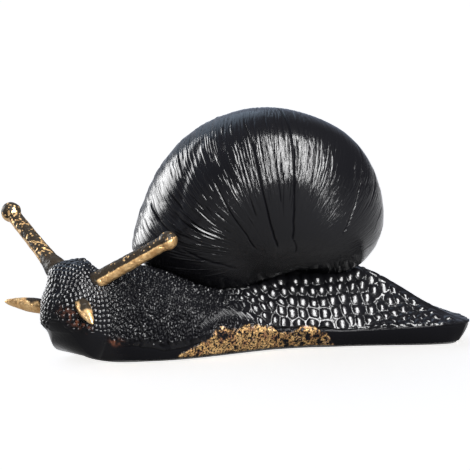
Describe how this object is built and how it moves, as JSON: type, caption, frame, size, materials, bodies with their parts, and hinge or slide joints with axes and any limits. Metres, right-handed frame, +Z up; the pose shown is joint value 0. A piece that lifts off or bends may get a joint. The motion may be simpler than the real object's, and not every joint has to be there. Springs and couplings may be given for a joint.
{
  "type": "snail figurine",
  "caption": "Rigid cast-resin snail ornament with a coiled shell, textured foot, and plated eye stalks and feelers; rests on a flat foot.",
  "frame": {"origin": "on the ground, under the middle of the whole object's box", "axes": "+X from the head to the tail, +Z up, -Y the side that the head turns to"},
  "size_m": [0.1898, 0.0982, 0.0965],
  "materials": {
    "black_lacquer_body": "satin to gloss black lacquer over textured resin, with a rough gilded patch on the near edge of the foot",
    "black_lacquer_shell": "satin black lacquer over fine growth lines",
    "gold_plate": "antiqued pale gold plate, finely pitted, with dark lacquer left in the hollows and at the root",
    "steel": "plain drawn wire",
    "epoxy": "cured two-part adhesive, black",
    "felt": "thin black felt"
  },
  "bodies": {
    "root": {"body_casting": "black_lacquer_body", "shell_casting": "black_lacquer_shell", "eye_stalk_left": "gold_plate", "eye_stalk_right": "gold_plate", "feeler_left": "gold_plate", "feeler_right": "gold_plate", "eye_stalk_pins": "steel", "feeler_pins": "steel", "shell_dowels": "steel", "shell_glue_bed": "epoxy", "felt_base": "felt"}
  },
  "joints": []
}
